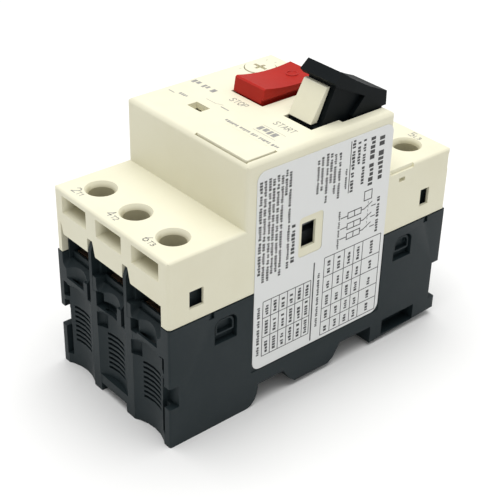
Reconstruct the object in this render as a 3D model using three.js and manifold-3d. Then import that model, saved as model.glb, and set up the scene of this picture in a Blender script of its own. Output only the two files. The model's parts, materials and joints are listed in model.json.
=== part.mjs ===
// Three-pole motor protection breaker with rocker push buttons, built as separate pieces.
// Units are millimetres. X runs across the three poles, Y from the load end (-Y) to the
// line end (+Y), and Z from the rail side (0) up to the front with the buttons.
import * as THREE from 'three';
import { mergeVertices } from 'three/addons/utils/BufferGeometryUtils.js';
import { ConvexGeometry } from 'three/addons/geometries/ConvexGeometry.js';
import Module from 'manifold-3d';

const wasm = await Module();
wasm.setup();

// ---- Driving dimensions ----
const WIDTH = 44.5;              // whole width, three poles side by side
const LENGTH = 89;               // whole length, rib front to rib front
const POLE_PITCH = 13.8;         // pole centre to pole centre
const RIB_X = POLE_PITCH / 2;    // dividing ribs stand midway between the poles
const HALF_W = WIDTH / 2;
const RIB_Y = LENGTH / 2;        // front edge of the dividing ribs
const BASE_Y = RIB_Y - 0.05;     // end faces of the base, just behind the ribs
const BASE_TOP = 32.65;          // joint line of base and cover
const COVER_INSET = 0.2;         // the cover stands this far inside the base
const COVER_X = HALF_W - COVER_INSET;
const COVER_Y = BASE_Y - 0.1;
const COVER_BOTTOM = BASE_TOP + 0.25;
const SHOULDER = 50.1;           // terminal shoulders
const NOSE_TOP = 66.5;           // flat front that shows through a panel cut-out
const NOSE_Y = [-22.9, 22.2];    // the 45 mm nose
const WALL = 1.7;                // cover wall
const NOSE_INNER = NOSE_TOP - WALL;
const FLOOR = 8;                 // inner floor of the base
const CAVITY_Y = 40.6;           // inner face of the base end walls
const SHROUD_Y = [41.2, 41.7];   // thin wall behind a wire ramp, in front of the terminal bar
const SHROUD_TOP = 32.5;
const PARTITION = 1.2;           // wall between two poles
const RAIL_SEAT = 6;             // the rail's flanges lie against this height
const CLEAR = 0.3;               // gap between pieces that touch in the real product

const TERMINAL_Y = 36.6;         // terminal screws, from the middle
const SCREW_HOLE_R = 3.1;
const SCREW_MOUTH_R = 3.95;      // where the hole flares out at the shoulder
const BAR_TOP = 32.65;           // top of the terminal bar
const BAR = 0.9;                 // its thickness
const SKIRT = 38.2;              // lower edge of the cover over a wire entry
const LIP = 26;                  // lower lip of a wire entry
const RAMP = [28.7, 30.8];       // foot and top edge of the wire ramp

const PIVOT = [17.6, 62.3];      // Y, Z of the pin that carries both push buttons
const PIN_R = 1.1;
const POLES = [-POLE_PITCH, 0, POLE_PITCH];
const ENDS = [-1, 1];            // load end, line end

// ---- Materials ----
const finish = (color, roughness, metalness = 0) =>
  new THREE.MeshStandardMaterial({ color, roughness, metalness });
const IVORY = finish(0xe3dec7, 0.5);
const BLACK = finish(0x2b3033, 0.55);
const LEVER_BLACK = finish(0x23272a, 0.4);
const RED = finish(0xb5302a, 0.4);
const LABEL = finish(0xcfd0cd, 0.35);
const STEEL = finish(0xb9bcbf, 0.3, 1);
const COPPER = finish(0xb87345, 0.35, 1);
const SILVER = finish(0xd0cfca, 0.3, 1);
const FIBRE = finish(0x8d8a80, 0.8);
const GREY = finish(0x5f6468, 0.6);

// ---- Solids ----
// Welds a three.js geometry into a closed manifold solid.
function solid(geometry) {
  const bare = geometry.index ? geometry.toNonIndexed() : geometry;
  bare.deleteAttribute('normal');
  bare.deleteAttribute('uv');
  const welded = mergeVertices(bare, 1e-4);
  const index = welded.index.array;
  const corners = [];
  for (let i = 0; i < index.length; i += 3) {
    const [a, b, c] = [index[i], index[i + 1], index[i + 2]];
    if (a !== b && b !== c && c !== a) corners.push(a, b, c);
  }
  const vertProperties = new Float32Array(welded.attributes.position.array);
  return new wasm.Manifold(new wasm.Mesh({
    numProp: 3, vertProperties, triVerts: new Uint32Array(corners),
  }));
}

const span = (a, b) => [Math.min(a, b), Math.max(a, b)];
const joined = (parts) => parts.reduce((sum, part) => sum.add(part));
const cut = (body, ...tools) => tools.flat().reduce((rest, tool) => rest.subtract(tool), body);

function box(x, y, z) {
  const size = [x, y, z].map(([low, high]) => high - low);
  const middle = [x, y, z].map(([low, high]) => (low + high) / 2);
  return solid(new THREE.BoxGeometry(...size).translate(...middle));
}

// An outline extruded along one axis. The outline is in (Y, Z) for x, (X, Z) for y and (X, Y) for z.
function extrude(outline, axis, [low, high], curveSegments = 6) {
  const shape = outline instanceof THREE.Shape ? outline
    : new THREE.Shape(outline.map(([u, v]) => new THREE.Vector2(u, v)));
  const geometry = new THREE.ExtrudeGeometry(shape, {
    depth: high - low, bevelEnabled: false, curveSegments,
  });
  const turn = new THREE.Matrix4();
  if (axis === 'x') turn.set(0, 0, 1, low, 1, 0, 0, 0, 0, 1, 0, 0, 0, 0, 0, 1);
  if (axis === 'y') turn.set(1, 0, 0, 0, 0, 0, -1, high, 0, 1, 0, 0, 0, 0, 0, 1);
  if (axis === 'z') turn.set(1, 0, 0, 0, 0, 1, 0, 0, 0, 0, 1, low, 0, 0, 0, 1);
  return solid(geometry.applyMatrix4(turn));
}

// A rectangle with its own radius at each corner: lower left, lower right, upper right, upper left.
function roundedRect([u0, u1], [v0, v1], radii) {
  const [r0, r1, r2, r3] = Array.isArray(radii) ? radii : [radii, radii, radii, radii];
  const shape = new THREE.Shape();
  const quarter = Math.PI / 2;
  const corner = (u, v, r, start) => {
    if (r > 0) shape.absarc(u, v, r, start, start + quarter);
    else shape.lineTo(u, v);
  };
  shape.moveTo(u0 + r0, v0);
  corner(u1 - r1, v0 + r1, r1, -quarter);
  corner(u1 - r2, v1 - r2, r2, 0);
  corner(u0 + r3, v1 - r3, r3, quarter);
  corner(u0 + r0, v0 + r0, r0, 2 * quarter);
  return shape;
}

// A cylinder or cone frustum along an axis through the two given cross coordinates.
function rod(axis, [u, v], radius, [low, high], sides = 24, endRadius = radius) {
  const geometry = new THREE.CylinderGeometry(endRadius, radius, high - low, sides);
  const middle = (low + high) / 2;
  if (axis === 'x') geometry.rotateZ(-Math.PI / 2).translate(middle, u, v);
  if (axis === 'y') geometry.translate(u, middle, v);
  if (axis === 'z') geometry.rotateX(Math.PI / 2).translate(u, v, middle);
  return solid(geometry);
}

// A straight-sided taper between two rounded rectangles that lie at y0 and y1.
function taper(y0, mouth, y1, throat) {
  const ring = ([x, z, r], y) => roundedRect(x, z, r).getPoints(4)
    .map((p) => new THREE.Vector3(p.x, y, p.y));
  return solid(new ConvexGeometry([...ring(mouth, y0), ...ring(throat, y1)]));
}

// A round wire wound along an axis, for the springs.
class Helix extends THREE.Curve {
  constructor(point, radius, [low, high], turns) {
    super();
    Object.assign(this, { point, radius, low, high, turns });
  }

  getPoint(t) {
    const angle = 2 * Math.PI * this.turns * t;
    return this.point(
      this.radius * Math.cos(angle),
      this.radius * Math.sin(angle),
      this.low + (this.high - this.low) * t,
    );
  }
}

function spring(point, radius, wire, [low, high], turns) {
  const section = new THREE.Shape().absarc(0, 0, wire, 0, 2 * Math.PI);
  const path = new Helix(point, radius, [low + wire, high - wire], turns);
  return solid(new THREE.ExtrudeGeometry(section, {
    steps: Math.round(turns * 8), extrudePath: path, curveSegments: 3,
  }));
}

// ---- Base housing ----
// The side view of the base: two feet, a middle foot inside the rail, and the two rail recesses.
const BASE_PROFILE = [
  [-BASE_Y, 0], [-21.6, 0], [-20.2, 0.5], [-19, 1.8], [-18.3, 3.6], [-18, RAIL_SEAT],
  [-9.8, RAIL_SEAT], [-7.6, 2.6], [-6, 1.3], [5.2, 1.3], [6.8, 2.3], [9.2, RAIL_SEAT],
  [20.1, RAIL_SEAT], [20.1, 0.9], [BASE_Y, 2.2], [BASE_Y, BASE_TOP], [-BASE_Y, BASE_TOP],
];
const SCALLOP_R = 11.5;
const SCALLOP_DEEP = 1.6;
const SCALLOP_TOP = 23.5;
const SCALLOPS = [-14.25, 0, 14.25];
const SILL = [2.4, 5];           // straight bar under the middle scallop
const LOUVRES = 8;
const LOUVRE_PITCH = 1.4;
const LOUVRE_TOP = 18.2;

// The hollow of a wire ramp that steers the conductor upwards.
const CUP_R = 7.5;
const CUP_DEEP = 1.45;
const RAMP_Y = 42.3;

// One end of the base, with its scallops, louvres, wire ramps, slots and corner notches.
function endCuts(s) {
  const y = (a, b) => span(s * a, s * b);
  const tools = [];
  SCALLOPS.forEach((x, pole) => {
    const axisAt = [x, s * (BASE_Y - SCALLOP_DEEP + SCALLOP_R)];
    const low = pole === 1 ? SILL[1] : -1;
    tools.push(rod('z', axisAt, SCALLOP_R, [low, SCALLOP_TOP], 30));
    tools.push(rod('z', axisAt, SCALLOP_R, [SCALLOP_TOP, 25.2], 30, SCALLOP_R - SCALLOP_DEEP));
    for (let i = 0; i < LOUVRES; i += 1) {
      const top = LOUVRE_TOP - i * LOUVRE_PITCH;
      tools.push(box([x - 3.35, x + 3.35], y(CAVITY_Y + 0.5, BASE_Y + 1), [top - 0.7, top]));
    }
  });
  POLES.forEach((x, pole) => {
    const middle = pole === 1;
    const left = pole === 0 ? x - 6.2 : x - 5.8;
    const right = x + 5.5;
    const cupLow = middle ? LIP + 1 : LIP + 0.15;
    const cup = rod('z', [x - 0.4, s * (BASE_Y + CUP_R - CUP_DEEP)], CUP_R, [cupLow, 36], 40);
    tools.push(cup.intersect(box([left, right], y(RAMP_Y, BASE_Y + 1), [LIP, 36])));
    tools.push(taper(s * (BASE_Y + 0.05), [[left, right], [RAMP[0], 42], [1.8, 1.8, 0, 0]],
      s * RAMP_Y, [[left + 0.3, right], [RAMP[1], 42], [0.6, 0.6, 0, 0]]));
    tools.push(box([left + 0.3, right], y(SHROUD_Y[1], RAMP_Y + 0.1), [RAMP[1], 42]));
    tools.push(box([left + 0.3, right], y(CAVITY_Y - 1, SHROUD_Y[1] + 0.1), [SHROUD_TOP, 42]));
    tools.push(box([x - 3.4, x + 2.3], y(BASE_Y - 1.7, BASE_Y - 0.6), [LIP - 1.8, cupLow + 0.05]));
    if (middle) tools.push(box([x - 5.9, x + 2.3], y(41.8, BASE_Y + 1), [LIP - 1.1, cupLow]));
    if (pole > 0) {
      tools.push(box([x - 5.9, x - 3.7], y(BASE_Y - 1.9, BASE_Y + 1), [LIP - (middle ? 1.1 : 0.4), 29.2]));
    }
  });
  for (const x of [-RIB_X, RIB_X]) {
    tools.push(box([x - 2.95, x - 1.45], y(BASE_Y - 2, BASE_Y + 2), [24.4, 31]));
    tools.push(rod('z', [x + 2.5, s * (BASE_Y - 0.2)], 1.6, [19.2, 23.2], 16));
  }
  for (const side of ENDS) {
    const x = (a, b) => span(side * a, side * b);
    const notchLow = s < 0 ? 11.1 : 5.6;
    tools.push(box(x(18.9, HALF_W + 1), y(BASE_Y - 2.6, BASE_Y + 1), [notchLow, 17]));
    tools.push(box(x(18.7, 20.3), y(BASE_Y - 1.8, BASE_Y + 1), [20.4, 24.6]));
    tools.push(box(x(19, 20.3), y(BASE_Y - 1.8, BASE_Y + 1), [15.8, 19.2]));
    tools.push(box(x(18.7, 20.3), y(BASE_Y - 1.8, BASE_Y + 1), [2.9, 12]));
  }
  tools.push(box([-5.4, 5], y(BASE_Y - 5, BASE_Y + 1), [-1, SILL[0]]));
  return tools;
}

// The arched accessory pocket in a side wall, with the thin arch-shaped ridge inside it.
const ARCH = { near: [-31.6, -25.1], far: [26.1, 32.5], z: [23.5, 30.1] };
const archOutline = (s, inset) => roundedRect(
  (s < 0 ? ARCH.near : ARCH.far).map((y, i) => y - ENDS[i] * inset),
  [ARCH.z[0] + (inset > 0 ? 1.6 + inset : 0), ARCH.z[1] - inset],
  [0, 0, 2 - inset / 2, 2 - inset / 2],
);

function sideCuts(side, s) {
  const x = (a, b) => span(side * a, side * b);
  const pocket = extrude(archOutline(s, 0), 'x', x(HALF_W - 1.6, HALF_W + 1));
  const ridge = cut(extrude(archOutline(s, 0.6), 'x', x(HALF_W - 2, HALF_W - 0.5)),
    extrude(archOutline(s, 1), 'x', x(HALF_W - 3, HALF_W)));
  const start = s < 0 ? -33.4 : 36.3;
  const ramp = extrude([[start, HALF_W], [start + 1.6, HALF_W - 0.7],
    [start + 1.6, HALF_W + 1], [start, HALF_W + 1]].map(([v, u]) => [side * u, v]),
  'z', [31.2, BASE_TOP + 1]);
  return [cut(pocket, ridge), ramp];
}

// A wall inside the base that stands up beside an outer terminal, and screens it from the side
// window and from the corner post of the cover.
function sideBarrier(side, s) {
  const x = (a, b) => span(side * a, side * b);
  const y = (a, b) => span(s * a, s * b);
  const front = side < 0 ? [19.2, 19.7] : [18.75, 19.15];
  return joined([
    box(x(19.5, 20.1), y(31, 39.4), [27, 42.2]),
    box(x(19.5, 21), y(31, 39.4), [27, 31]),
    box(x(front[0], 20.1), y(38.7, 39.4), [27, SKIRT - 0.3]),
    box(x(...front), y(38.7, 42.8), [27, SKIRT - 0.3]),
  ]);
}

function baseHousing() {
  let body = extrude(roundedRect([-HALF_W, HALF_W], [-BASE_Y, BASE_Y], 0.5), 'z', [-1, BASE_TOP], 3)
    .intersect(extrude(BASE_PROFILE, 'x', [-HALF_W - 1, HALF_W + 1]));
  const inner = HALF_W - 1.7;
  const chambers = [
    [-inner, -RIB_X - PARTITION / 2], [-RIB_X + PARTITION / 2, RIB_X - PARTITION / 2],
    [RIB_X + PARTITION / 2, inner],
  ];
  body = cut(body, chambers.map((x) => box(x, [-CAVITY_Y, CAVITY_Y], [FLOOR, BASE_TOP + 1])),
    chambers.map((x) => box(x, [-SHROUD_Y[0], SHROUD_Y[0]], [28.6, BASE_TOP + 1])));
  for (const s of ENDS) {
    for (const x of [-RIB_X, RIB_X]) {
      const rib = extrude([
        [s * (BASE_Y - 1), 0], [s * RIB_Y, 0], [s * RIB_Y, 28.7], [s * (BASE_Y - 1), 28.7],
      ], 'x', [x - 1.5, x + 1.5]);
      const divider = extrude([
        [s * 30, 20], [s * 42.5, 20], [s * 42.5, SKIRT - 0.4], [s * 39.2, SKIRT - 0.4], [s * 39.2, 41.5],
        [s * 30, 41.5],
      ], 'x', [x - PARTITION / 2, x + PARTITION / 2]);
      const fin = extrude([
        [s * 41, 26], [s * RIB_Y, 26], [s * RIB_Y, SKIRT + 1], [s * (RIB_Y - 1), 41.5], [s * 41, 41.5],
      ], 'x', [x - 1.55, x - 0.3]);
      body = joined([body, rib, divider, fin]);
    }
    const tabs = [-RIB_X, RIB_X].map((x) => box([x - 4.4, x - 2.9], span(s * (BASE_Y - 1.5), s * BASE_Y),
      [24.2, 28.7]));
    body = joined([cut(body, endCuts(s)), ...tabs]);
  }
  for (const side of ENDS) {
    for (const s of ENDS) body = cut(body, sideCuts(side, s));
    body = cut(body, box(span(side * (HALF_W - 3.6), side * (HALF_W + 1)), [24.3, 36.1], [1.8, 6.3]));
    for (const s of ENDS) body = body.add(sideBarrier(side, s));
  }
  const crossing = box([-RIB_X - 2, RIB_X + 2], [-7, 7], [22, BASE_TOP + 1]);
  const labelBed = box([COVER_X, HALF_W + 1], [-20.4, 22.2], [10.3, BASE_TOP + 1]);
  const clipTrack = box([-6.3, 6.3], [19, 41], [-1, 5.9]);
  body = cut(body, crossing, labelBed, clipTrack);
  const hooks = ENDS.map((side) => extrude([
    [-18.6, 1.6], [-16.4, 2.6], [-16.4, 4.6], [-18.6, 4.6],
  ], 'x', span(side * 6, side * 16)));
  return joined([body, ...hooks]);
}

// ---- Front cover ----
// A block whose edges are rounded in plan and at the top, both ways.
function softBlock([x0, x1], [y0, y1], [z0, z1], corner, edge) {
  return extrude(roundedRect([x0, x1], [y0, y1], corner), 'z', [z0, z1], 3)
    .intersect(extrude(roundedRect([y0, y1], [z0 - 5, z1], [0, 0, edge, edge]), 'x', [x0, x1], 3))
    .intersect(extrude(roundedRect([x0, x1], [z0 - 5, z1], [0, 0, edge, edge]), 'y', [y0, y1], 3));
}

const FUNNEL_Z = [44, 48.7];
const STOP_SLOT = { x: [-9.95, 1.5], y: [-1.15, 18.3] };
const START_SLOT = { x: [8.15, 17.6], y: [-0.5, 8.1], wide: [6.9, 18.9] };
const DIAL = { x: -16.4, y: 13.6, r: 3.9 };
const TEST_SLOT = { x: [-9.9, -5], y: [-14.4, -11.5] };
const FLAP = { x: [3.2, 20.6], y: [-21.9, -13.8], z: [65.8, 66.8] };

function terminalEnd(s) {
  const y = (a, b) => span(s * a, s * b);
  const tools = [];
  POLES.forEach((x) => {
    tools.push(taper(s * (COVER_Y + 0.05), [[x - 5, x + 5], FUNNEL_Z, 0],
      s * (COVER_Y - 4.3), [[x - 3.6, x + 0.6], [45.6, 47.8], 0]));
    tools.push(rod('z', [x, s * TERMINAL_Y], SCREW_HOLE_R, [40, SHOULDER + 1], 28));
    const mouth = [SHOULDER - 1.25, SHOULDER + 0.01];
    tools.push(rod('z', [x, s * TERMINAL_Y], SCREW_HOLE_R, mouth, 28, SCREW_MOUTH_R));
  });
  // Notches between the skirts clear the dividing ribs; a slim one stands beside the corner post.
  for (const x of [-RIB_X, RIB_X]) {
    const notch = [[-1.85, 30], [1.7, 30], [1.7, 37.7], [1.1, 38.5], [0.45, 41.3], [0.2, 42], [-1.6, 42],
      [-1.85, 41.6]];
    tools.push(extrude(notch.map(([u, z]) => [x + u, z]), 'y', y(CAVITY_Y, COVER_Y + 1)));
  }
  tools.push(extrude([[-20, 36], [-18.8, 36], [-18.9, SKIRT], [-19.9, 41.2], [-20, 41.2]],
    'y', y(CAVITY_Y, COVER_Y + 1)));
  tools.push(box([-20, 19.4], y(CAVITY_Y - 1, COVER_Y + 1), [COVER_BOTTOM - 1, SKIRT]));
  return tools;
}

function coverSideCuts(side) {
  const x = (a, b) => span(side * a, side * b);
  const windows = [
    [[-38.6, -34.7], [36.3, 40.8]], [[34.3, 37.4], [36.6, 41.3]], [[-6.1, -1.75], [39.5, 46.1]],
  ];
  const thinned = x(COVER_X - WALL - 1, COVER_X - 0.7);
  return [
    ...windows.map(([y, z]) => box(x(COVER_X - WALL - 1, COVER_X + 1), y, z)),
    ...windows.map(([y, z]) => box(thinned, [y[0] - 1, y[1] + 1], [z[0] - 1.6, z[1] + 0.6])),
    box(x(COVER_X - 1, COVER_X + 1), [25.8, 27.9], [46.3, 47.4]),
    box(x(COVER_X - 0.6, COVER_X + 1), [22.6, 30.8], [49, SHOULDER + 1]),
    box(x(COVER_X - 2.4, COVER_X + 1), [COVER_Y - 0.8, COVER_Y + 1], [44.2, 48.6]),
  ];
}

function frontCover() {
  const outer = softBlock([-COVER_X, COVER_X], [-COVER_Y, COVER_Y], [COVER_BOTTOM, SHOULDER], 1, 0.8)
    .add(softBlock([-COVER_X, COVER_X], NOSE_Y, [SHOULDER - 2, NOSE_TOP], 0.9, 1.6));
  const innerX = [WALL - COVER_X, COVER_X - WALL];
  const room = box(innerX, [-COVER_Y + WALL, COVER_Y - WALL], [0, SHOULDER - WALL - 0.2])
    .add(box(innerX, [NOSE_Y[0] + WALL, NOSE_Y[1] - WALL], [0, NOSE_INNER]));
  let body = cut(outer, room);
  for (const s of ENDS) {
    const block = box(innerX, span(s * (CAVITY_Y - 0.6), s * (COVER_Y - 0.5)), [42.7, SHOULDER - 1]);
    const sleeves = POLES.map((x) => rod('z', [x, s * TERMINAL_Y], 4.7, [43.2, SHOULDER - 1], 28));
    body = cut(joined([body, block, ...sleeves]), terminalEnd(s));
  }
  for (const side of ENDS) body = cut(body, coverSideCuts(side));
  const through = [NOSE_INNER - 1, NOSE_TOP + 1];
  return cut(body,
    box(STOP_SLOT.x, STOP_SLOT.y, through),
    box(START_SLOT.x, START_SLOT.y, through),
    box(START_SLOT.wide, [START_SLOT.y[1] - 0.1, NOSE_Y[1] - WALL], through),
    box(START_SLOT.wide, [NOSE_Y[1] - WALL - 0.1, NOSE_Y[1] + 1], [66, NOSE_TOP + 1]),
    rod('z', [DIAL.x, DIAL.y], DIAL.r + 0.25, [NOSE_INNER + 0.6, NOSE_TOP + 1], 36),
    rod('z', [DIAL.x, DIAL.y], 2.6, through, 20),
    box(TEST_SLOT.x, TEST_SLOT.y, through),
    box(
      FLAP.x.map((x, i) => x + 0.3 * ENDS[i]),
      FLAP.y.map((y, i) => y + 0.3 * ENDS[i]),
      [65.5, NOSE_TOP + 1],
    ));
}

// A thin plate that closes the lower front corner of the nose and carries the plant marking.
const markingFlap = () => softBlock(FLAP.x, FLAP.y, FLAP.z, 0.4, 0.2);

// The self-adhesive rating label on the right side, with its window for the accessory opening.
function ratingLabel() {
  const outline = roundedRect([-20.1, 21.9], [10.6, 63.7], 2.4);
  const sheet = extrude(outline, 'x', [COVER_X + 0.03, HALF_W - 0.03]);
  const hole = roundedRect([-7, 0.5], [37.15, 47.85], 1);
  return cut(sheet, extrude(hole, 'x', [COVER_X - 1, HALF_W + 1], 3));
}

// ---- Rail clip ----
function railClip() {
  const plate = extrude([
    [15.8, 3], [17, 1.8], [19.4, 1], [36.4, 1], [36.4, 5.5], [18.6, 5.5], [18.6, 4.6], [15.8, 4.6],
  ], 'x', [-6, 6]);
  const toolSlot = box([-2.5, 2.5], [27, 30], [-1, 3]);
  return cut(plate, toolSlot);
}

// ---- Push buttons ----
const START_X = [7.3, 18.5];
const STOP_X = [-9.5, 1.05];
const hub = (x) => rod('x', PIVOT, 2.1, x, 20);
const pinHole = (x) => rod('x', PIVOT, PIN_R + 0.08, x, 20);

// Points of a shallow arc that sags between two ends, for a finger-shaped top.
function sagging([u0, v0], [u1, v1], sag, steps = 6) {
  return Array.from({ length: steps + 1 }, (_, i) => {
    const t = i / steps;
    return [u0 + (u1 - u0) * t, v0 + (v1 - v0) * t - 4 * sag * t * (1 - t)];
  });
}

function startButton() {
  const top = sagging([7.3, 78.6], [22.4, 70.3], 0.6);
  const slab = extrude([[4.85, 76.6], ...top, [22.5, 66.7], [19.6, 66.7], [15.8, 70.6], [5.9, 75.4]],
    'x', START_X);
  const webs = extrude([[15.6, 71.4], [11.4, 66.9], [12.2, 65.4], [19.2, 65.7], [22.3, 67.15], [22.3, 70]],
    'x', START_X);
  const core = extrude([[6.9, 75.4], [2.95, 66.4], [0.85, 66.4], [0.85, 61.5], [2.9, 60.5], [14, 59.2],
    [17.6, 60.2], [19.6, 62.3], [19.6, 67], [15, 71.5]], 'x', [START_X[0] + 1.2, START_X[1] - 1.2]);
  const wings = hub([START_X[0] + 0.4, START_X[1] - 0.4]);
  return cut(joined([slab, webs, core, wings]), pinHole([0, 30]));
}

// The pale skirt in front of the start lever, clipped on so that it swings with it.
function startShield() {
  return extrude([[0.75, 66.7], [5.2, 74.7], [6.25, 74.7], [2.7, 66.7]], 'x',
    [START_X[0] + 1.05, START_X[1] - 2.5]);
}

// The centre of the ring moulded on the stop button.
const RING = [-4.2, 13.1];

function stopButton() {
  const top = sagging([0.2, 70.4], [17.3, 69.5], 0.8, 8);
  const cap = cut(
    extrude([[-0.8, 66.6], [-0.25, 70.1], ...top, [17.7, 69], [17.7, 66.6]], 'x', STOP_X),
    box([STOP_X[1] - 0.6, STOP_X[1] + 1], [-2, 17], [60, 67.6]),
  );
  const core = extrude([[-0.4, 67], [-0.4, 59.5], [14, 58.6], [17.6, 60.2], [18.2, 62], [17.6, 67]],
    'x', [STOP_X[0] + 0.6, STOP_X[1] - 0.6]);
  const grips = Array.from({ length: 6 }, (_, i) => rod('x', [1.3 + 1.25 * i, 70.45 - 0.1 * i], 0.28,
    [STOP_X[0] - 1, STOP_X[1] + 1], 8));
  const ring = cut(rod('z', RING, 1.6, [68.4, 69.35], 24), rod('z', RING, 1.2, [60, 72], 24));
  const body = joined([cap, core, hub([STOP_X[0] + 0.6, STOP_X[1] - 0.6])]);
  return cut(body, grips, pinHole([-20, 10])).add(ring);
}

const rockerPin = () => rod('x', PIVOT, PIN_R, [-12.2, 20], 20);
const SPRING_FOOT = 46.3;
const startSpring = () => spring((u, v, w) => new THREE.Vector3(12.9 + u, 10.4 + v, w), 2.6, 0.35,
  [SPRING_FOOT, 58.9], 5);
const stopSpring = () => spring((u, v, w) => new THREE.Vector3(-4.7 + u, 8 + v, w), 2.6, 0.35,
  [SPRING_FOOT, 58.5], 5);

// The inner frame that carries the pin and the feet of both button springs.
function innerFrame() {
  const plate = box([-12.2, 20], [-6, 20.1], [44, 46]);
  const cheeks = [[-12.2, -11], [2.4, 5.6], [19, 20]].map((x) => extrude([
    [2, 45], [20.1, 45], [20.1, 63], [19, 64.4], [16, 64.4], [12, 58], [4, 52], [2, 50],
  ], 'x', x));
  return cut(joined([plate, ...cheeks]), pinHole([-20, 30]), box([10.9, 14.9], [1.5, 6.4], [40, 50]));
}

// ---- Dial, test lever and trip bar ----
function currentDial() {
  const at = [DIAL.x, DIAL.y];
  const disc = rod('z', at, DIAL.r, [NOSE_INNER + 0.9, 66.75], 36);
  const neck = rod('z', at, 2.3, [64, 66], 20);
  const flange = rod('z', at, 3.6, [62.2, 64.5], 24);
  const stem = rod('z', at, 1.3, [55, 62.4], 12);
  const slot = box([DIAL.x - 2.2, DIAL.x + 2.2], [DIAL.y - 0.45, DIAL.y + 0.45], [65, 68]);
  const crossSlot = box([DIAL.x - 0.45, DIAL.x + 0.45], [DIAL.y - 1.6, DIAL.y + 1.6], [65, 68]);
  const pointer = box([DIAL.x + 2.6, DIAL.x + 3.9], [DIAL.y - 0.3, DIAL.y + 0.3], [66.3, 68]);
  return cut(joined([disc, neck, flange, stem]), slot, crossSlot, pointer);
}

function testSlider() {
  const pad = box([-11.6, -5.3], [-15, -11], [62.8, 64.3]);
  const arm = extrude([[-14.6, 63], [-11, 63], [-11, 60.8], [-16.9, 49], [-18.4, 49], [-14.6, 60]],
    'x', [-9.7, -7.2]);
  return pad.add(arm);
}

const TRIP_AXIS = [-25.6, 46];
function tripBar() {
  const shaft = rod('x', TRIP_AXIS, 1.3, [-19.8, 19.8], 20);
  const fingers = POLES.map((x) => extrude([
    [-26.4, 46.4], [-24.8, 46.4], [-26.6, 40], [-27.6, 40],
  ], 'x', [x - 2, x + 2]));
  const lug = extrude([[-26.3, 46], [-24.9, 46], [-20.2, 46.9], [-20.2, 47.5], [-26, 47.7]], 'x', [-11, -6]);
  return joined([shaft, ...fingers, lug]);
}

// ---- Current path, one set for each pole ----
const BAR_HALF = 4.7;
const THREAD_R = 1.95;
const NUT_LOW = 28.8;

// The terminal bar at one end, with its captive nut and the leg that leads inwards.
function terminalBar(x, s, leg) {
  const pad = box([x - BAR_HALF, x + BAR_HALF], span(s * 31.5, s * 40.9), [BAR_TOP - BAR, BAR_TOP]);
  const nut = box([x - 3.5, x + 3.5], span(s * (TERMINAL_Y - 3.5), s * (TERMINAL_Y + 3.5)),
    [NUT_LOW, BAR_TOP - 0.5]);
  const lead = extrude(leg.map(([y, z]) => [s * y, z]), 'x', [x - 3, x + 3]);
  return cut(joined([pad, nut, lead]), rod('z', [x, s * TERMINAL_Y], THREAD_R + 0.12, [0, 50], 20));
}

const LEG_TOP = BAR_TOP - 0.4;
const LINE_LEG = [[31.7, LEG_TOP], [32.6, LEG_TOP], [32.6, 26], [6, 26], [6, 26.9], [31.7, 26.9]];
const LOAD_LEG = [[31.7, LEG_TOP], [32.6, LEG_TOP], [32.6, 11.3], [30.4, 11.3], [30.4, 12.2], [31.7, 12.2]];

const contactTip = (x, y, z) => rod('z', [x, y], 1.7, z, 16);

function lineTerminal(x) {
  return terminalBar(x, 1, LINE_LEG).add(contactTip(x, 7.9, [26.5, 27.6]));
}

function loadTerminal(x) {
  return terminalBar(x, -1, LOAD_LEG);
}

// The fixed contact on the load side, whose leg leads down to the coil.
function fixedContact(x) {
  const low = FLOOR + CLEAR;
  const path = [[-6, 26], [-6, 26.9], [-12.4, 26.9], [-12.4, low], [-11.5, low], [-11.5, 26]];
  const strip = extrude(path, 'x', [x - 3, x + 3]);
  return strip.add(contactTip(x, -7.9, [26.5, 27.6]));
}

const BRIDGE_LOW = 31.1;
function contactBridge(x) {
  const bar = box([x - 2.6, x + 2.6], [-9.8, 9.8], [BRIDGE_LOW, BRIDGE_LOW + 1.2]);
  return joined([bar, ...ENDS.map((s) => contactTip(x, s * 7.9, [BRIDGE_LOW - 0.8, BRIDGE_LOW + 0.3]))]);
}

const contactSpring = (x) => spring((u, v, w) => new THREE.Vector3(x + u, v, w), 2, 0.3,
  [BRIDGE_LOW + 1.5, 37.7], 3);

// The carrier that moves the three contact bridges together.
function contactCarrier() {
  const beam = box([-18.4, 18.4], [-3, 3], [38, 41]);
  const stirrups = POLES.map((x) => cut(box([x - 4.2, x + 4.2], [-3, 3], [BRIDGE_LOW - 1.4, 39]),
    box([x - 3.2, x + 3.2], [-5, 5], [BRIDGE_LOW - 0.3, 38])));
  const post = extrude([[-2, 40], [2, 40], [5.8, 43.4], [5.8, 58.6], [3.4, 58.6], [3.4, 45], [-2, 41]],
    'x', [11.4, 14.4]);
  return joined([beam, ...stirrups, post]);
}

// A stack of splitter plates on one back wall, seen from the side as a comb.
function arcChute(x, s) {
  const comb = [[19.6, 28.2], [19.6, 41], [18.6, 41]];
  for (let i = 0; i < 6; i += 1) {
    const z = 40.4 - i * 2.3;
    comb.push([18.6, z], [11.2, z], [11.2, z - 0.8], [18.6, z - 0.8]);
  }
  comb.push([18.6, 28.2]);
  return extrude(comb.map(([y, z]) => [s * y, z]), 'x', [x - 5.9, x + 5.9]);
}

// The magnetic trip coil, a short winding with its core end.
function tripCoil(x) {
  const profile = [[0, 0], [2, 0], [2, 1]];
  for (let i = 0; i < 5; i += 1) {
    const h = 1 + i * 2.1;
    profile.push([4.3, h], [5.2, h + 0.6], [5.2, h + 1.5], [4.3, h + 2.1]);
  }
  profile.push([2, 11.5], [2, 12.4], [0, 12.4]);
  const geometry = new THREE.LatheGeometry(profile.map(([r, h]) => new THREE.Vector2(r, h)), 14);
  return solid(geometry.translate(x, -26.2, FLOOR + CLEAR + 5.2));
}

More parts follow.
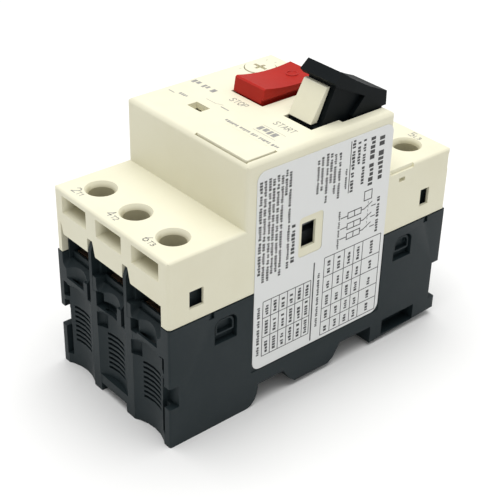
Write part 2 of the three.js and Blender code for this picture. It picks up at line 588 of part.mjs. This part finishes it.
const bimetal = (x) => extrude([[-30, 13.2], [-30, 12.6], [-28.9, 12.6], [-28.9, 43], [-29.6, 43],
  [-29.6, 14]], 'x', [x - 2.2, x + 2.2]);

// ---- Terminal screws and their clamp plates ----
const CLAMP_LOW = 38.6;
function clampPlate(x, s) {
  const plate = box([x - 4.6, x + 4.6], span(s * (TERMINAL_Y - 4.4), s * (TERMINAL_Y + 4.4)),
    [CLAMP_LOW, CLAMP_LOW + 1.2]);
  return cut(plate, rod('z', [x, s * TERMINAL_Y], THREAD_R + 0.12, [30, 45], 20));
}

function terminalScrew(x, s) {
  const at = [x, s * TERMINAL_Y];
  const head = rod('z', at, 2.8, [CLAMP_LOW + 1.5, CLAMP_LOW + 4], 24);
  const shank = rod('z', at, THREAD_R, [28.4, CLAMP_LOW + 2], 20);
  const long = box([x - 2.2, x + 2.2], [at[1] - 0.4, at[1] + 0.4], [CLAMP_LOW + 2.7, CLAMP_LOW + 5]);
  const short = box([x - 0.4, x + 0.4], [at[1] - 1.6, at[1] + 1.6], [CLAMP_LOW + 2.7, CLAMP_LOW + 5]);
  return cut(head.add(shank), long, short);
}

// ---- Assembly ----
const breaker = new THREE.Group();

function place(name, body, material) {
  const { vertProperties, triVerts } = body.getMesh();
  const geometry = new THREE.BufferGeometry();
  geometry.setAttribute('position', new THREE.BufferAttribute(new Float32Array(vertProperties), 3));
  geometry.setIndex(new THREE.BufferAttribute(new Uint32Array(triVerts), 1));
  const mesh = new THREE.Mesh(geometry, material);
  mesh.name = name;
  breaker.add(mesh);
}

place('base_housing', baseHousing(), BLACK);
place('front_cover', frontCover(), IVORY);
place('marking_flap', markingFlap(), IVORY);
place('rating_label', ratingLabel(), LABEL);
place('rail_clip', railClip(), BLACK);
place('rail_clip_spring', spring((u, v, w) => new THREE.Vector3(u, w, 3.2 + v), 1.9, 0.35, [36.7, 40.7], 4),
  STEEL);
place('start_button', startButton(), LEVER_BLACK);
place('start_shield', startShield(), IVORY);
place('stop_button', stopButton(), RED);
place('rocker_pin', rockerPin(), STEEL);
place('start_spring', startSpring(), STEEL);
place('stop_spring', stopSpring(), STEEL);
place('inner_frame', innerFrame(), GREY);
place('current_dial', currentDial(), IVORY);
place('test_slider', testSlider(), IVORY);
place('trip_bar', tripBar(), GREY);
place('contact_carrier', contactCarrier(), GREY);
POLES.forEach((x, i) => {
  const pole = i + 1;
  place(`line_terminal_${pole}`, lineTerminal(x), COPPER);
  place(`load_terminal_${pole}`, loadTerminal(x), COPPER);
  place(`fixed_contact_${pole}`, fixedContact(x), COPPER);
  place(`contact_bridge_${pole}`, contactBridge(x), SILVER);
  place(`contact_spring_${pole}`, contactSpring(x), STEEL);
  place(`arc_chute_line_${pole}`, arcChute(x, 1), FIBRE);
  place(`arc_chute_load_${pole}`, arcChute(x, -1), FIBRE);
  place(`trip_coil_${pole}`, tripCoil(x), COPPER);
  place(`bimetal_${pole}`, bimetal(x), SILVER);
  ENDS.forEach((s) => {
    const end = s < 0 ? 'load' : 'line';
    place(`terminal_screw_${end}_${pole}`, terminalScrew(x, s), STEEL);
    place(`clamp_plate_${end}_${pole}`, clampPlate(x, s), STEEL);
  });
});

export default breaker;
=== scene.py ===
"""Looks of the three-pole motor protection breaker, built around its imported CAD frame.

Lengths are in metres. X runs across the poles, +Y from the load end to the line end, +Z to the
front that carries the push buttons.
"""

import json
import math

import bmesh
import bpy
import numpy as np
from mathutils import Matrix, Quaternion, Vector


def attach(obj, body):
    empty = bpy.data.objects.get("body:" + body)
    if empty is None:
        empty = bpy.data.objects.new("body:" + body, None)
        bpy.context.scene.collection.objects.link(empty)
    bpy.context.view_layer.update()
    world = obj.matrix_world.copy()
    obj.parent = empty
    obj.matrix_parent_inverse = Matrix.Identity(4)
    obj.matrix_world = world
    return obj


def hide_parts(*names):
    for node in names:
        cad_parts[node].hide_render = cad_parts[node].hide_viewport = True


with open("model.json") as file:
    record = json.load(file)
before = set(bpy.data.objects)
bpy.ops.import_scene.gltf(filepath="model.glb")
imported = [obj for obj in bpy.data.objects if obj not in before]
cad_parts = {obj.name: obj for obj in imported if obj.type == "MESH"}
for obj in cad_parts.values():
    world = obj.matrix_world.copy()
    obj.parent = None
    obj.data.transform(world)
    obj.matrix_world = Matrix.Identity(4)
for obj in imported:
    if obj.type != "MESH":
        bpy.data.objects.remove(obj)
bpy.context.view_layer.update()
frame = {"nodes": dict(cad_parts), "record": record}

MM = 0.001
NODE_BODY = {
    node: body
    for body, members in frame["record"]["behaviour"]["bodies"].items()
    for node in members
}
NODE_SLOT = {row["node"]: row["material_slot"] for row in frame["record"]["subparts"]}
LABEL_FACE = 22.22 * MM
NOSE_TOP = 66.5 * MM
SHOULDER = 50.1 * MM
TERMINAL_Y = 36.6 * MM
POLES = (-13.8, 0.0, 13.8)


# ---- Shader writing ----
class Value:
    """A shader socket that takes part in Python arithmetic by adding Math nodes."""

    def __init__(self, shader, socket):
        self.shader = shader
        self.socket = socket

    def math(self, operation, *others):
        values = dict(enumerate((self, *others)))
        return self.shader.node("ShaderNodeMath", {"operation": operation}, values)

    def __add__(self, other):
        return self.math("ADD", other)

    __radd__ = __add__

    def __sub__(self, other):
        return self.math("SUBTRACT", other)

    def __rsub__(self, other):
        return self.shader.node(
            "ShaderNodeMath", {"operation": "SUBTRACT"}, {0: other, 1: self}
        )

    def __mul__(self, other):
        return self.math("MULTIPLY", other)

    __rmul__ = __mul__

    def __pow__(self, other):
        return self.math("POWER", other)

    def most(self, other):
        return self.math("MAXIMUM", other)

    def least(self, other):
        return self.math("MINIMUM", other)

    def step(self, low, high):
        """Rises smoothly from 0 at low to 1 at high."""
        return self.shader.node(
            "ShaderNodeMapRange",
            {"interpolation_type": "SMOOTHSTEP"},
            {"Value": self, "From Min": low, "From Max": high},
        )


class Shader:
    """One material's node tree."""

    def __init__(self, name):
        self.material = bpy.data.materials.new(name)
        self.material.use_nodes = True
        self.tree = self.material.node_tree
        self.tree.nodes.clear()

    def node(self, kind, settings=None, inputs=None, output=0):
        """Adds one node, sets it up, links or fills its inputs, and returns one output."""
        made = self.tree.nodes.new(kind)
        for key, value in (settings or {}).items():
            setattr(made, key, value)
        for key, value in (inputs or {}).items():
            if isinstance(value, Value):
                self.tree.links.new(value.socket, made.inputs[key])
            else:
                made.inputs[key].default_value = value
        return Value(self, made.outputs[output]) if made.outputs else None

    def place(self, axis=None):
        """The point in the part's own frame, or one coordinate of it."""
        point = self.node("ShaderNodeTexCoord", output="Object")
        if axis is None:
            return point
        return self.node("ShaderNodeSeparateXYZ", {}, {0: point}, output=axis)

    def noise(self, scale, detail=3.0, roughness=0.5, stretch=(1, 1, 1)):
        point = self.node(
            "ShaderNodeMapping", {}, {"Vector": self.place(), "Scale": stretch}
        )
        return self.node(
            "ShaderNodeTexNoise",
            {},
            {"Vector": point, "Scale": scale, "Detail": detail, "Roughness": roughness},
        )

    def mix(self, factor, first, second):
        return self.node(
            "ShaderNodeMix",
            {"data_type": "RGBA"},
            {0: factor, 6: first, 7: second},
            output=2,
        )

    def bump(self, height, distance, strength=1.0, under=None):
        inputs = {"Height": height, "Distance": distance, "Strength": strength}
        if under is not None:
            inputs["Normal"] = under
        return self.node("ShaderNodeBump", {}, inputs)

    def finish(self, **inputs):
        named = {key.replace("_", " "): value for key, value in inputs.items()}
        surface = self.node("ShaderNodeBsdfPrincipled", {}, named)
        self.node("ShaderNodeOutputMaterial", {}, {"Surface": surface})
        return self.material


def recess_depth(s):
    """How far a point lies inside a screw hole or a wire funnel of the cover: 0 on the outer
    skin, 1 well inside. It masks the painted shade of these recesses."""
    x, y, z = (s.place(axis) for axis in range(3))
    outer = x.math("ABSOLUTE")
    across = outer.least((outer - POLES[2] * MM).math("ABSOLUTE"))
    end = y.math("ABSOLUTE")
    along = (end - TERMINAL_Y).math("ABSOLUTE")
    radius = (across * across + along * along) ** 0.5
    hole = (1 - radius.step(3.0 * MM, 4.2 * MM)) * (1 - z.step(48.6 * MM, SHOULDER))
    funnel = (1 - across.step(4.5 * MM, 5.0 * MM)) * (1 - z.step(49.0 * MM, 49.9 * MM))
    funnel = funnel * end.step(36 * MM, 38 * MM) * (1 - end.step(41.5 * MM, 44.2 * MM))
    return hole.most(funnel)


def moulded_plastic(name, colour, shade, roughness, grain, specular=0.5, soil_and_shade=None):
    """Injection-moulded plastic: a spark-eroded grain, faint flow clouds, and sheen that varies.
    A painted shade colour darkens the screw holes and wire funnels of the cover, where shade
    falls."""
    s = Shader(name)
    clouds = s.noise(55, 4, 0.6)
    fine = s.noise(2600, 2, 0.6)
    specks = s.noise(900, 3, 0.65)
    handling = s.noise(18, 3, 0.55)
    tint = s.mix(clouds.step(0.35, 0.7), (*colour, 1), (*shade, 1))
    base = s.mix(specks.step(0.62, 0.8) * 0.12, tint, (*shade, 1))
    if soil_and_shade is not None:
        # Painted shade: the cover's colour is mixed towards a dark olive inside its screw holes
        # and wire funnels.
        base = s.mix(recess_depth(s) * 0.7, base, (*soil_and_shade, 1))
    gloss = (
        clouds * 0.08
        + specks * 0.10
        - handling.step(0.45, 0.75) * 0.06
        + (roughness - 0.08)
    )
    relief = s.bump(fine, grain, 0.35)
    swell = s.bump(s.noise(140, 2, 0.5), 0.00004, 0.25, under=relief)
    return s.finish(
        Base_Color=base, Roughness=gloss, Normal=swell, Specular_IOR_Level=specular
    )


def worn_edge(name, colour, rubbed, roughness, specular=0.5):
    """The rolled edge of a moulding, where handling has rubbed the grain smooth and pale in
    patches, with short nicks."""
    s = Shader(name)
    patches = s.noise(210, 3, 0.6)
    nicks = s.noise(1500, 2, 0.7)
    rub = patches.step(0.46, 0.66) * 0.55 + nicks.step(0.60, 0.72) * 0.35
    base = s.mix(rub, (*colour, 1), (*rubbed, 1))
    gloss = patches * 0.16 + nicks * 0.08 + (roughness - 0.14)
    return s.finish(
        Base_Color=base,
        Roughness=gloss,
        Normal=s.bump(nicks, 0.000012, 0.35),
        Specular_IOR_Level=specular,
    )


def plated_metal(name, colour, shade, roughness, stretch=(1, 1, 1)):
    """Plated strip or wire: fine drawing lines, cloudy tarnish and small dull spots."""
    s = Shader(name)
    lines = s.noise(900, 3, 0.6, stretch=stretch)
    tarnish = s.noise(160, 4, 0.65)
    base = s.mix(tarnish.step(0.4, 0.75) * 0.7, (*colour, 1), (*shade, 1))
    gloss = lines * 0.16 + tarnish * 0.14 + (roughness - 0.12)
    return s.finish(
        Base_Color=base,
        Roughness=gloss,
        Normal=s.bump(lines, 0.00001, 0.3),
        Metallic=1.0,
    )


def label_film(name):
    """Printed film: an even satin with a faint orange-peel and slight soiling in patches."""
    s = Shader(name)
    peel = s.noise(420, 2, 0.4)
    soil_and_shade = s.noise(70, 4, 0.6)
    base = s.mix(
        soil_and_shade.step(0.45, 0.75) * 0.5, (0.75, 0.76, 0.75, 1), (0.70, 0.71, 0.70, 1)
    )
    gloss = peel * 0.08 + soil_and_shade * 0.08 + 0.26
    return s.finish(
        Base_Color=base, Roughness=gloss, Normal=s.bump(peel, 0.00002, 0.25)
    )


def printing_ink(name, colour, faded):
    """Thin printing whose edges and density break up a little."""
    s = Shader(name)
    breakup = s.noise(1500, 2, 0.6)
    base = s.mix(breakup.step(0.35, 0.75), (*colour, 1), (*faded, 1))
    return s.finish(
        Base_Color=base,
        Roughness=breakup * 0.15 + 0.4,
        Normal=s.bump(breakup, 0.000004, 0.3),
    )


FINISH = {
    "cover_plastic": moulded_plastic(
        "ivory_polyamide",
        (0.79, 0.765, 0.60),
        (0.765, 0.735, 0.565),
        0.48,
        0.000010,
        0.25,
        # dark olive painted shade for the inside of the cover's screw holes and wire funnels
        soil_and_shade=(0.30, 0.27, 0.16),
    ),
    "base_plastic": moulded_plastic(
        "black_glass_filled",
        (0.011, 0.019, 0.022),
        (0.016, 0.024, 0.027),
        0.52,
        0.000016,
        0.2,
    ),
    "lever_plastic": moulded_plastic(
        "dark_lever",
        (0.0025, 0.0045, 0.0055),
        (0.0045, 0.0070, 0.0085),
        0.50,
        0.000008,
        0.1,
    ),
    "stop_plastic": moulded_plastic(
        "signal_red", (0.43, 0.017, 0.009), (0.38, 0.013, 0.007), 0.42, 0.000008, 0.15
    ),
    "label_film": label_film("label_film"),
    "plated_steel": plated_metal(
        "zinc_plate", (0.62, 0.63, 0.64), (0.45, 0.45, 0.44), 0.32
    ),
    "copper": plated_metal(
        "tarnished_copper", (0.40, 0.25, 0.17), (0.22, 0.14, 0.10), 0.42, (1, 0.1, 1)
    ),
    "contact_metal": plated_metal(
        "silver_alloy", (0.74, 0.72, 0.68), (0.52, 0.50, 0.46), 0.30, (1, 0.1, 1)
    ),
    "grey_plastic": moulded_plastic(
        "grey_carrier", (0.10, 0.11, 0.12), (0.075, 0.085, 0.09), 0.5, 0.000010
    ),
    "fibre": moulded_plastic(
        "grey_fibre", (0.10, 0.095, 0.085), (0.07, 0.065, 0.06), 0.7, 0.000020
    ),
}
EDGE = {
    "cover_plastic": worn_edge(
        "rubbed_ivory", (0.80, 0.775, 0.62), (0.85, 0.835, 0.72), 0.40, 0.3
    ),
    "base_plastic": worn_edge(
        "rubbed_black", (0.015, 0.024, 0.027), (0.038, 0.047, 0.050), 0.42, 0.3
    ),
    "lever_plastic": worn_edge(
        "rubbed_lever", (0.006, 0.008, 0.009), (0.020, 0.023, 0.025), 0.38, 0.3
    ),
    "stop_plastic": worn_edge(
        "rubbed_red", (0.45, 0.014, 0.011), (0.55, 0.045, 0.034), 0.36, 0.25
    ),
}


# ---- Mouldings from the CAD solids ----
WELD = 2e-6
FLAT_ANGLE = math.radians(0.6)
SHARP_ANGLE = math.radians(28)


def moulding(node, edge):
    """A copy of a CAD solid whose triangles are welded into whole faces, with its edges
    rolled over to the given radius and its curved walls shaded as one surface."""
    source = frame["nodes"][node]
    mesh = source.data.copy()
    mesh.name = f"{node}_moulding"
    solid = bmesh.new()
    solid.from_mesh(mesh)
    bmesh.ops.remove_doubles(solid, verts=solid.verts, dist=WELD)
    bmesh.ops.dissolve_limit(
        solid, angle_limit=FLAT_ANGLE, verts=solid.verts, edges=solid.edges
    )
    for face in solid.faces:
        face.smooth = True
    for seam in solid.edges:
        seam.smooth = seam.calc_face_angle(math.pi) < SHARP_ANGLE
    solid.to_mesh(mesh)
    solid.free()
    mesh.materials.clear()
    mesh.materials.append(FINISH[NODE_SLOT[node]])
    mesh.materials.append(EDGE[NODE_SLOT[node]])
    piece = bpy.data.objects.new(mesh.name, mesh)
    bpy.context.scene.collection.objects.link(piece)
    roll = piece.modifiers.new("rolled_edges", "BEVEL")
    roll.width = edge
    roll.segments = 2
    roll.limit_method = "ANGLE"
    roll.angle_limit = SHARP_ANGLE
    roll.use_clamp_overlap = True
    roll.harden_normals = False
    roll.material = 1
    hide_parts(node)
    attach(piece, NODE_BODY[node])


# Edge radius of each moulding, in millimetres.
for name, radius in {
    "front_cover": 0.16,
    "base_housing": 0.14,
    "marking_flap": 0.12,
    "rail_clip": 0.15,
    "start_button": 0.35,
    "start_shield": 0.12,
    "stop_button": 0.30,
    "current_dial": 0.12,
    "test_slider": 0.12,
}.items():
    moulding(name, radius * MM)

for name, node in frame["nodes"].items():
    node.data.materials.clear()
    node.data.materials.append(FINISH[NODE_SLOT[name]])


# ---- Printing ----
GREY_INK = printing_ink("grey_ink", (0.022, 0.022, 0.023), (0.06, 0.06, 0.06))
FAINT_INK = printing_ink("faint_ink", (0.27, 0.265, 0.25), (0.38, 0.375, 0.34))


def printed(name, corners, plane, level, ink):
    """Thin printing on a flat face: one array of four-cornered marks, each corner (u, v) in
    millimetres, laid on the plane x or z at one level."""
    corners = np.asarray(corners, float).reshape(-1, 2) * MM
    u, v = corners.T
    flat = np.full_like(u, level)
    points = np.stack((flat, u, v) if plane == "x" else (u, v, flat), axis=-1)
    mesh = bpy.data.meshes.new(name)
    faces = np.arange(len(points)).reshape(-1, 4)
    mesh.from_pydata(points.tolist(), [], faces.tolist())
    mesh.materials.append(ink)
    piece = bpy.data.objects.new(name, mesh)
    bpy.context.scene.collection.objects.link(piece)
    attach(piece, "breaker_body")


def bar(u0, u1, v0, v1):
    """The four corners of a rectangle."""
    return [(u0, v0), (u1, v0), (u1, v1), (u0, v1)]


def stroke(start, end, width):
    """The four corners of a straight pen stroke with square ends."""
    start, end = np.array(start, float), np.array(end, float)
    along = (end - start) / np.linalg.norm(end - start) * width / 2
    aside = np.array((-along[1], along[0]))
    return [start - along - aside, end + along - aside, end + along + aside, start - along + aside]


def grid(us, vs, width):
    """The ruled lines of a table whose columns and rows stand at the given places."""
    across = [bar(us[0], us[-1], v - width / 2, v + width / 2) for v in vs]
    down = [bar(u - width / 2, u + width / 2, vs[0], vs[-1]) for u in us]
    return across + down


def dashes(draw, start, end, height, row):
    """A row of short unreadable marks in groups, like a line of small print. The row runs along v
    at u = row; its marks stand height tall along u."""
    marks = []
    place = start
    while place < end:
        for _ in range(draw.integers(2, 8)):
            width = height * draw.uniform(0.45, 0.8)
            if place + width > end:
                break
            lift = height * draw.choice((0.0, 0.0, 0.22))
            marks.append(bar(row - height / 2 + lift, row + height / 2, place, place + width))
            place += width + height * 0.22
        place += height * 0.55
    return marks


def turned(marks):
    """Swaps the two directions of a row of marks, and keeps their outward side."""
    return [[(v, u) for u, v in reversed(mark)] for mark in marks]


# Rows of small print on the rating label: place along Y, first Z, last Z, letter height.
LABEL_ROWS = (
    (-19.0, 37.2, 61.5, 0.85),
    (-17.75, 34.9, 61.7, 0.75),
    (-16.4, 34.9, 61.7, 0.75),
    (-15.25, 36.4, 61.7, 0.75),
    (-14.0, 36.4, 61.7, 0.75),
    (-12.75, 34.9, 61.7, 0.75),
    (-11.6, 55.6, 62.1, 0.75),
    (-10.4, 35.9, 62.1, 0.75),
    (-8.85, 36.9, 47.5, 1.1),
    (-2.0, 52.6, 61.8, 0.7),
    (-0.75, 53.1, 61.8, 0.7),
    (0.75, 49.4, 62.1, 0.75),
    (2.0, 54.2, 62.1, 0.75),
    (3.25, 50.9, 62.1, 0.75),
    (4.75, 49.2, 62.1, 0.75),
    (7.0, 50.9, 56.4, 0.6),
    (9.0, 49.4, 62.9, 1.0),
    (10.75, 56.2, 62.5, 0.9),
    (12.5, 50.4, 62.5, 0.9),
    (15.25, 49.2, 62.3, 1.5),
    (18.25, 49.9, 62.2, 1.7),
    (18.75, 35.2, 45.4, 0.9),
    (5.75, 34.9, 45.4, 0.6),
    (0.1, 14.9, 30.9, 0.7),
    (-18.65, 14.6, 28.4, 0.8),
)


def label_printing():
    """The printing of the rating label: rows of marks, two ruled tables and a plain symbol of
    three poles with their contacts, coil and heater boxes."""
    draw = np.random.default_rng(7)
    marks = []
    for row, start, end, height in LABEL_ROWS:
        marks += dashes(draw, start, end, height, row)
    wide_columns = (1.75, 4.9, 8.4, 11.6, 14.6, 20.75)
    wide_rows = (11.5, 15.4, 19.4, 24.15, 28.55, 34.0)
    small_columns = (-17.35, -14.85, -12.35, -9.75, -7.25, -4.65, -2.35)
    small_rows = (13.9, 19.25, 24.75, 29.4)
    marks += grid(wide_columns, wide_rows, 0.22) + grid(small_columns, small_rows, 0.22)
    for columns, rows in ((wide_columns, wide_rows), (small_columns, small_rows)):
        for low, high in zip(rows, rows[1:]):
            for left, right in zip(columns, columns[1:]):
                marks += dashes(draw, low + 0.7, high - 0.7, 0.95, (left + right) / 2)
    marks.append(bar(-1.75, -1.35, 11.4, 34.0))
    marks.append(bar(7.95, 8.2, 49.4, 62.9))
    marks += wiring_symbol()
    return marks


def wiring_symbol():
    """Three lines that each run from a terminal mark through a slanted contact arm and a
    stepped heater box, joined by a dashed link to a trip coil."""
    pen = 0.26
    marks = []
    for pole in (43.15, 40.15, 37.4):
        arm = ((17.8, pole), (16.5, pole)), ((16.5, pole + 1.2), (14.0, pole))
        low, high = pole - 0.8, pole + 0.8
        heater = (
            ((14.0, pole), (13.0, pole)),
            ((13.0, low), (13.0, high)),
            ((13.0, high), (8.6, high)),
            ((8.6, high), (8.6, low)),
            ((8.6, low), (13.0, low)),
            ((10.8, low), (10.8, high)),
            ((8.6, pole), (6.4, pole)),
        )
        marks += [stroke(start, end, pen) for start, end in arm + heater]
    coil = ((13.75, 45.4), (16.25, 45.4)), ((16.25, 45.4), (16.25, 47.9))
    coil += ((16.25, 47.9), (13.75, 47.9)), ((13.75, 47.9), (13.75, 45.4))
    marks += [stroke(start, end, pen) for start, end in coil]
    for place in np.arange(37.6, 45.2, 1.1):
        marks.append(bar(15.2, 15.34, place, place + 0.65))
    return marks


# Each glyph is a set of pen paths on a unit square.
GLYPHS = {
    "1": (
        ((0.2, 0.75), (0.55, 1), (0.55, 0)),
    ),
    "2": (
        ((0, 0.8), (0.25, 1), (0.75, 1), (1, 0.8), (1, 0.6), (0, 0), (1, 0)),
    ),
    "3": (
        ((0, 0.9), (0.3, 1), (0.9, 0.9), (0.9, 0.6), (0.4, 0.52)),
        ((0.4, 0.52), (1, 0.4), (1, 0.12), (0.4, 0), (0, 0.1)),
    ),
    "4": (
        ((0.75, 0), (0.75, 1), (0, 0.32), (1, 0.32)),
    ),
    "5": (
        ((0.9, 1), (0.1, 1), (0.1, 0.55), (0.8, 0.58), (1, 0.3), (0.7, 0), (0, 0.05)),
    ),
    "6": (
        (
            (0.8, 1), (0.1, 0.5), (0.1, 0.15), (0.4, 0),
            (0.8, 0.05), (1, 0.3), (0.7, 0.55), (0.1, 0.4),
        ),
    ),
    "L": (
        ((0, 1), (0, 0)),
        ((0, 0), (0.8, 0)),
    ),
    "S": (
        (
            (1, 0.85), (0.7, 1), (0.2, 0.95), (0.05, 0.72),
            (0.9, 0.32), (0.8, 0.05), (0.3, 0), (0, 0.15),
        ),
    ),
    "T": (
        ((0, 1), (1, 1)),
        ((0.5, 1), (0.5, 0)),
    ),
    "A": (
        ((0, 0), (0.5, 1), (1, 0)),
        ((0.2, 0.35), (0.8, 0.35)),
    ),
    "R": (
        ((0, 0), (0, 1), (0.8, 1), (0.95, 0.75), (0.8, 0.5), (0, 0.5)),
        ((0.4, 0.5), (1, 0)),
    ),
    "O": (
        ((0.3, 0), (0, 0.3), (0, 0.7), (0.3, 1), (0.7, 1), (1, 0.7), (1, 0.3), (0.7, 0), (0.3, 0)),
    ),
    "P": (
        ((0, 0), (0, 1), (0.8, 1), (0.95, 0.75), (0.8, 0.5), (0, 0.5)),
    ),
}


def written(text, left, foot, width, height, pen, pitch=1.4):
    """A word or number in plain pen strokes, upright along the second direction."""
    marks = []
    for place, letter in enumerate(text):
        for path in GLYPHS[letter]:
            corners = [
                (left + (place * pitch + u) * width, foot + v * height) for u, v in path
            ]
            marks += [stroke(a, b, pen) for a, b in zip(corners, corners[1:])]
    return marks


def front_printing():
    """The words under the two buttons, the rows of small marks and the test symbol."""
    draw = np.random.default_rng(11)
    marks = written("STOP", -6.2, -4.9, 1.05, 1.7, 0.22)
    marks += written("START", 9.7, -5.15, 1.0, 1.7, 0.22)
    marks += turned(dashes(draw, -20.2, -11.2, 1.7, -4.6))
    marks += turned(dashes(draw, 9.2, 16.4, 1.9, -8.8))
    marks += turned(dashes(draw, 1.6, 20.0, 0.9, -12.3))
    marks += turned(dashes(draw, -16.4, -12.9, 0.9, -11.6))
    marks += [bar(9.0, 16.6, -7.3, -7.2), bar(9.0, 16.6, -10.5, -10.4)]
    for start, end, pen in (
        ((-9.8, -8.7), (-6.6, -8.7), 0.12),
        ((-6.6, -8.7), (-4.6, -7.9), 0.12),
        ((-4.2, -8.8), (-1.7, -8.8), 0.35),
        ((-19.2, -12.6), (-17.4, -12.6), 0.3),
    ):
        marks.append(stroke(start, end, pen))
    return marks


def dial_printing():
    """Short scale ticks that fan round the dial recess on the front."""
    centre = np.array((-16.4, 13.6))
    marks = []
    for angle in np.radians(np.arange(-60, 241, 30)):
        ray = np.array((math.cos(angle), math.sin(angle)))
        if abs(centre[0] + 5.4 * ray[0]) < 21.0:
            marks.append(stroke(centre + 4.8 * ray, centre + 5.3 * ray, 0.16))
    return marks


def terminal_numbers():
    """Plain terminal marks: 2 T1, 4 T2, 6 T3 at the load end and 1 L1, 3 L2, 5 L3 at the line
    end, each a tall number followed by a small letter and number."""
    marks = []
    for place, (load, line) in enumerate((("2", "1"), ("4", "3"), ("6", "5"))):
        left = POLES[place] - 3.5
        for mark, kind, foot in ((load, "T", -42.5), (line, "L", 40.9)):
            marks += written(mark, left, foot, 1.3, 2.2, 0.27)
            marks += written(f"{kind}{place + 1}", left + 1.9, foot, 0.75, 1.25, 0.2)
    return marks


INK_THICKNESS = 0.012 * MM
FRONT_MARKS = front_printing() + dial_printing()
for name, marks, plane, face, ink, slot in (
    ("label_print", label_printing(), "x", LABEL_FACE, GREY_INK, "label_film"),
    ("front_print", FRONT_MARKS, "z", NOSE_TOP, FAINT_INK, "cover_plastic"),
    ("terminal_print", terminal_numbers(), "z", SHOULDER, FAINT_INK, "cover_plastic"),
):
    printed(name, marks, plane, face + INK_THICKNESS, ink)


# ---- Studio ----
def pale_floor():
    """A wide flat floor under the part."""
    s = Shader("pale_floor")
    mottle = s.noise(3, 3, 0.5)
    base = s.mix(mottle, (0.90, 0.90, 0.89, 1), (0.87, 0.87, 0.865, 1))
    material = s.finish(Base_Color=base, Roughness=mottle * 0.1 + 0.7)
    across, along = np.meshgrid(np.linspace(-6, 6, 3), np.linspace(-6, 6, 3))
    points = np.stack([across, along, np.zeros_like(across)], axis=-1).reshape(-1, 3)
    first = np.array([0, 1, 3, 4])[:, None]
    faces = first + np.array([0, 1, 4, 3])
    mesh = bpy.data.meshes.new("pale_floor")
    mesh.from_pydata(points.tolist(), [], faces.tolist())
    mesh.materials.append(material)
    floor = bpy.data.objects.new("pale_floor", mesh)
    bpy.context.scene.collection.objects.link(floor)


def softbox(name, at, target, size, power):
    """A square area light that faces a point."""
    data = bpy.data.lights.new(name, "AREA")
    data.shape = "SQUARE"
    data.size = size
    data.energy = power
    light = bpy.data.objects.new(name, data)
    bpy.context.scene.collection.objects.link(light)
    light.location = at
    light.rotation_mode = "QUATERNION"
    light.rotation_quaternion = (Vector(target) - Vector(at)).to_track_quat("-Z", "Y")


def camera(at, target, roll, lens):
    data = bpy.data.cameras.new("camera")
    data.lens = lens
    data.sensor_width = 36
    data.clip_start = 0.01
    data.clip_end = 50
    viewer = bpy.data.objects.new("camera", data)
    bpy.context.scene.collection.objects.link(viewer)
    viewer.location = at
    look = (Vector(target) - Vector(at)).to_track_quat("-Z", "Y")
    viewer.rotation_mode = "QUATERNION"
    viewer.rotation_quaternion = look @ Quaternion((0, 0, 1), math.radians(roll))
    bpy.context.scene.camera = viewer


def studio_world(strength):
    world = bpy.data.worlds.new("studio_air")
    world.use_nodes = True
    background = world.node_tree.nodes["Background"]
    background.inputs["Color"].default_value = (1, 1, 1, 1)
    background.inputs["Strength"].default_value = strength
    bpy.context.scene.world = world


pale_floor()
studio_world(0.55)
softbox("overhead", (-0.04, 0.02, 0.80), (0, 0, 0.03), 0.8, 6.3)
camera(
    (0.190917, -0.168728, 0.183348),
    (0.001812, -0.003999, 0.028531),
    1.578,
    85.6,
)
bpy.context.scene.view_settings.view_transform = "Standard"
